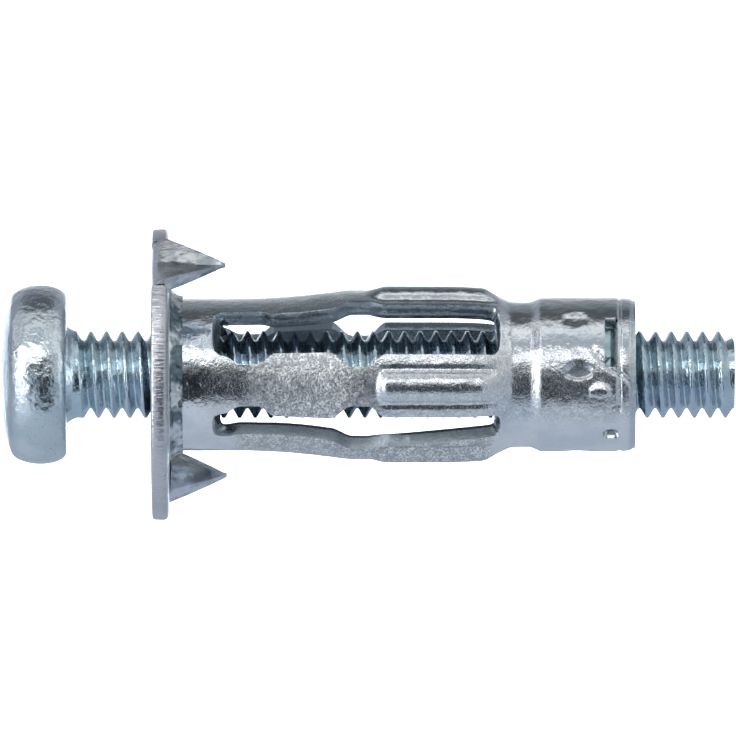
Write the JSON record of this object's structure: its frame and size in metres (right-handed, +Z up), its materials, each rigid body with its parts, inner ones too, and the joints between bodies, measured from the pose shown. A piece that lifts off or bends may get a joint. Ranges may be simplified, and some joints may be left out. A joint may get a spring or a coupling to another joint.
{
  "type": "hollow-wall anchor",
  "caption": "Metal hollow-wall anchor: spiked flange, slotted sleeve whose ribbed legs fold outward behind a board, captive nut and pan-head machine screw.",
  "frame": {"origin": "centre of the flange's wall side, on the screw's axis", "axes": "+X along the screw from head to tip, +Z up, -Y towards the viewer; leg directions are counted from -Y towards +Z"},
  "size_m": [0.0327, 0.013, 0.013],
  "materials": {
    "blue_zinc_screw": "blue-passivated zinc plate, glossy on the head, darker in the thread",
    "zinc_flange": "bright zinc plate with a sheared rim",
    "zinc_sleeve": "bright zinc plate on rolled sheet, grainy on the front leg and glossy elsewhere",
    "zinc_nut": "blue-passivated zinc plate"
  },
  "bodies": {
    "collar": {"flange_plate": "zinc_flange", "sleeve_collar": "zinc_sleeve"},
    "screw": {"screw": "blue_zinc_screw"},
    "leg_1_front": {"front_leg_1": "zinc_sleeve"},
    "leg_1_rear": {"rear_leg_1": "zinc_sleeve"},
    "nut_end": {"neck_segment_1": "zinc_sleeve", "sleeve_tail": "zinc_sleeve", "threaded_nut": "zinc_nut"},
    "leg_2_front": {"front_leg_2": "zinc_sleeve"},
    "leg_2_rear": {"rear_leg_2": "zinc_sleeve"},
    "leg_2_tail": {"neck_segment_2": "zinc_sleeve"},
    "leg_3_front": {"front_leg_3": "zinc_sleeve"},
    "leg_3_rear": {"rear_leg_3": "zinc_sleeve"},
    "leg_3_tail": {"neck_segment_3": "zinc_sleeve"},
    "leg_4_front": {"front_leg_4": "zinc_sleeve"},
    "leg_4_rear": {"rear_leg_4": "zinc_sleeve"},
    "leg_4_tail": {"neck_segment_4": "zinc_sleeve"}
  },
  "joints": [
    {"name": "screw_turn", "type": "hinge", "parent": "collar", "child": "screw", "pos_m": [0, 0, 0], "axis": [1, 0, 0], "range_deg": [0, 3240]},
    {"name": "leg_1_root_fold", "type": "hinge", "parent": "collar", "child": "leg_1_front", "pos_m": [0.003, -0.00317, -0.00045], "axis": [0, 0.1392, -0.9903], "range_deg": [0, 61.13]},
    {"name": "leg_1_knee_fold", "type": "hinge", "parent": "leg_1_front", "child": "leg_1_rear", "pos_m": [0.00855, -0.00349, -0.00049], "axis": [0, 0.1392, -0.9903], "range_deg": [-122.27, 0]},
    {"name": "leg_1_tail_fold", "type": "hinge", "parent": "leg_1_rear", "child": "nut_end", "pos_m": [0.0141, -0.00317, -0.00045], "axis": [0, 0.1392, -0.9903], "range_deg": [0, 61.13]},
    {"name": "leg_2_root_fold", "type": "hinge", "parent": "collar", "child": "leg_2_front", "pos_m": [0.003, 0.00011, 0.0032], "axis": [0, -0.9994, 0.0349], "range_deg": [0, 61.13]},
    {"name": "leg_2_knee_fold", "type": "hinge", "parent": "leg_2_front", "child": "leg_2_rear", "pos_m": [0.00855, 0.00012, 0.00352], "axis": [0, -0.9994, 0.0349], "range_deg": [-122.27, 0]},
    {"name": "leg_2_tail_fold", "type": "hinge", "parent": "leg_2_rear", "child": "leg_2_tail", "pos_m": [0.0141, 0.00011, 0.0032], "axis": [0, -0.9994, 0.0349], "range_deg": [0, 61.13]},
    {"name": "leg_3_root_fold", "type": "hinge", "parent": "collar", "child": "leg_3_front", "pos_m": [0.003, 0.00319, 0.00022], "axis": [0, -0.0698, 0.9976], "range_deg": [0, 61.13]},
    {"name": "leg_3_knee_fold", "type": "hinge", "parent": "leg_3_front", "child": "leg_3_rear", "pos_m": [0.00855, 0.00351, 0.00025], "axis": [0, -0.0698, 0.9976], "range_deg": [-122.27, 0]},
    {"name": "leg_3_tail_fold", "type": "hinge", "parent": "leg_3_rear", "child": "leg_3_tail", "pos_m": [0.0141, 0.00319, 0.00022], "axis": [0, -0.0698, 0.9976], "range_deg": [0, 61.13]},
    {"name": "leg_4_root_fold", "type": "hinge", "parent": "collar", "child": "leg_4_front", "pos_m": [0.003, 0.00008, -0.0032], "axis": [0, 0.9997, 0.0262], "range_deg": [0, 61.13]},
    {"name": "leg_4_knee_fold", "type": "hinge", "parent": "leg_4_front", "child": "leg_4_rear", "pos_m": [0.00855, 0.00009, -0.00352], "axis": [0, 0.9997, 0.0262], "range_deg": [-122.27, 0]},
    {"name": "leg_4_tail_fold", "type": "hinge", "parent": "leg_4_rear", "child": "leg_4_tail", "pos_m": [0.0141, 0.00008, -0.0032], "axis": [0, 0.9997, 0.0262], "range_deg": [0, 61.13]}
  ],
  "couplings": [
    {"joint": "leg_1_root_fold", "follows": "screw_turn", "ratio": 0.018865},
    {"joint": "leg_1_knee_fold", "follows": "screw_turn", "ratio": -0.037731},
    {"joint": "leg_1_tail_fold", "follows": "screw_turn", "ratio": 0.018865},
    {"joint": "leg_2_root_fold", "follows": "screw_turn", "ratio": 0.018865},
    {"joint": "leg_2_knee_fold", "follows": "screw_turn", "ratio": -0.037731},
    {"joint": "leg_2_tail_fold", "follows": "screw_turn", "ratio": 0.018865},
    {"joint": "leg_3_root_fold", "follows": "screw_turn", "ratio": 0.018865},
    {"joint": "leg_3_knee_fold", "follows": "screw_turn", "ratio": -0.037731},
    {"joint": "leg_3_tail_fold", "follows": "screw_turn", "ratio": 0.018865},
    {"joint": "leg_4_root_fold", "follows": "screw_turn", "ratio": 0.018865},
    {"joint": "leg_4_knee_fold", "follows": "screw_turn", "ratio": -0.037731},
    {"joint": "leg_4_tail_fold", "follows": "screw_turn", "ratio": 0.018865}
  ]
}
